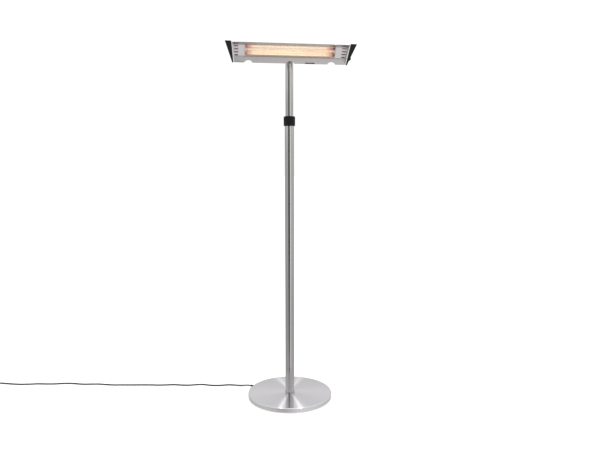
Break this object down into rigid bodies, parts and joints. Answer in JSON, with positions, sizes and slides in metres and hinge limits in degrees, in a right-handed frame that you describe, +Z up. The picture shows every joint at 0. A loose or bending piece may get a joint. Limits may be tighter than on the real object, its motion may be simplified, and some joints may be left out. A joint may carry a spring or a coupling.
{
  "type": "patio heater",
  "caption": "Free-standing electric infrared patio heater: round weighted base, telescopic pole with clamp collar, and a long tilting head with a guarded lamp.",
  "frame": {"origin": "middle of the base on the floor", "axes": "+Z up along the pole, +X along the head's length, and the head faces -Y and down"},
  "size_m": [2.0829, 0.636, 1.8646],
  "materials": {
    "brushed_steel": "circular and long-grain brushed stainless steel",
    "aluminium": "satin",
    "mirror_aluminium": "polished reflector sheet",
    "zinc_steel": "zinc-plated steel",
    "cast_iron": "rough painted casting",
    "black_plastic": "fine moulded grain",
    "white_plastic": "natural nylon",
    "smoked_plastic": "smoked, glossy",
    "rubber": "soft black rubber",
    "ceramic": "unglazed steatite",
    "quartz": "clear quartz, lit from inside",
    "element": "glowing resistance wire"
  },
  "bodies": {
    "stand": {"base_cover": "brushed_steel", "base_weight": "cast_iron", "bottom_plate": "zinc_steel", "foot_ring": "rubber", "centre_bolt": "zinc_steel", "cord_strain_relief": "rubber", "base_lead": "rubber", "pole_plug": "zinc_steel", "lower_tube": "brushed_steel", "collar_socket": "black_plastic", "clamp_sleeve": "white_plastic", "coiled_lead": "rubber", "mains_cord": "rubber", "cord_coil": "rubber", "plug_lead": "rubber", "plug_body": "black_plastic", "plug_pin_left": "zinc_steel", "plug_pin_right": "zinc_steel"},
    "slider": {"guide_bush": "white_plastic"},
    "mast": {"upper_tube": "brushed_steel", "mast_plug": "zinc_steel", "head_lead": "rubber", "yoke": "zinc_steel", "yoke_screw_left": "zinc_steel", "yoke_screw_right": "zinc_steel", "tilt_bolt": "zinc_steel"},
    "collar_nut": {"collar_nut": "black_plastic"},
    "tilt_knob": {"tilt_knob": "black_plastic"},
    "power_knob": {"power_knob": "black_plastic"},
    "head": {"housing": "aluminium", "end_plate_left": "aluminium", "end_plate_right": "aluminium", "louvre_panel_left": "aluminium", "louvre_panel_right": "aluminium", "reflector": "mirror_aluminium", "head_bracket": "zinc_steel", "bracket_screw_left": "zinc_steel", "bracket_screw_right": "zinc_steel", "bulkhead_left": "zinc_steel", "bulkhead_right": "zinc_steel", "lamp_clip_left": "zinc_steel", "lamp_clip_right": "zinc_steel", "guard_grille": "zinc_steel", "cap_screw_left_1": "zinc_steel", "cap_screw_left_2": "zinc_steel", "cap_screw_right_1": "zinc_steel", "cap_screw_right_2": "zinc_steel", "end_cap_left": "black_plastic", "end_cap_right": "black_plastic", "head_gland": "black_plastic", "tip_over_switch": "black_plastic", "friction_washer_left": "white_plastic", "friction_washer_right": "white_plastic", "rotary_switch": "white_plastic", "terminal_block": "white_plastic", "status_window": "smoked_plastic", "lamp_end_left": "ceramic", "lamp_end_right": "ceramic", "lamp_tube": "quartz", "heating_element": "element"}
  },
  "joints": [
    {"name": "mast_slide", "type": "slide", "parent": "stand", "child": "slider", "axis": [0, 0, 1], "range_m": [-0.2, 0.3], "deforming": ["coiled_lead"]},
    {"name": "mast_turn", "type": "hinge", "parent": "slider", "child": "mast", "pos_m": [0, 0, 1.2], "axis": [0, 0, 1], "range_deg": [-90, 90]},
    {"name": "collar_twist", "type": "hinge", "parent": "stand", "child": "collar_nut", "pos_m": [0, 0, 1.485], "axis": [0, 0, 1], "range_deg": [0, 120]},
    {"name": "head_tilt", "type": "hinge", "parent": "mast", "child": "head", "pos_m": [0, 0.01, 1.8168], "axis": [1, 0, 0], "range_deg": [-36, 15], "deforming": ["head_lead"]},
    {"name": "tilt_knob_turn", "type": "hinge", "parent": "mast", "child": "tilt_knob", "pos_m": [0.036, 0.01, 1.8168], "axis": [1, 0, 0], "range_deg": [0, 270]},
    {"name": "power_knob_turn", "type": "hinge", "parent": "head", "child": "power_knob", "pos_m": [0.30137, -0.04769, 1.79157], "axis": [0.9527, 0.1786, -0.2459], "range_deg": [0, 240]}
  ]
}
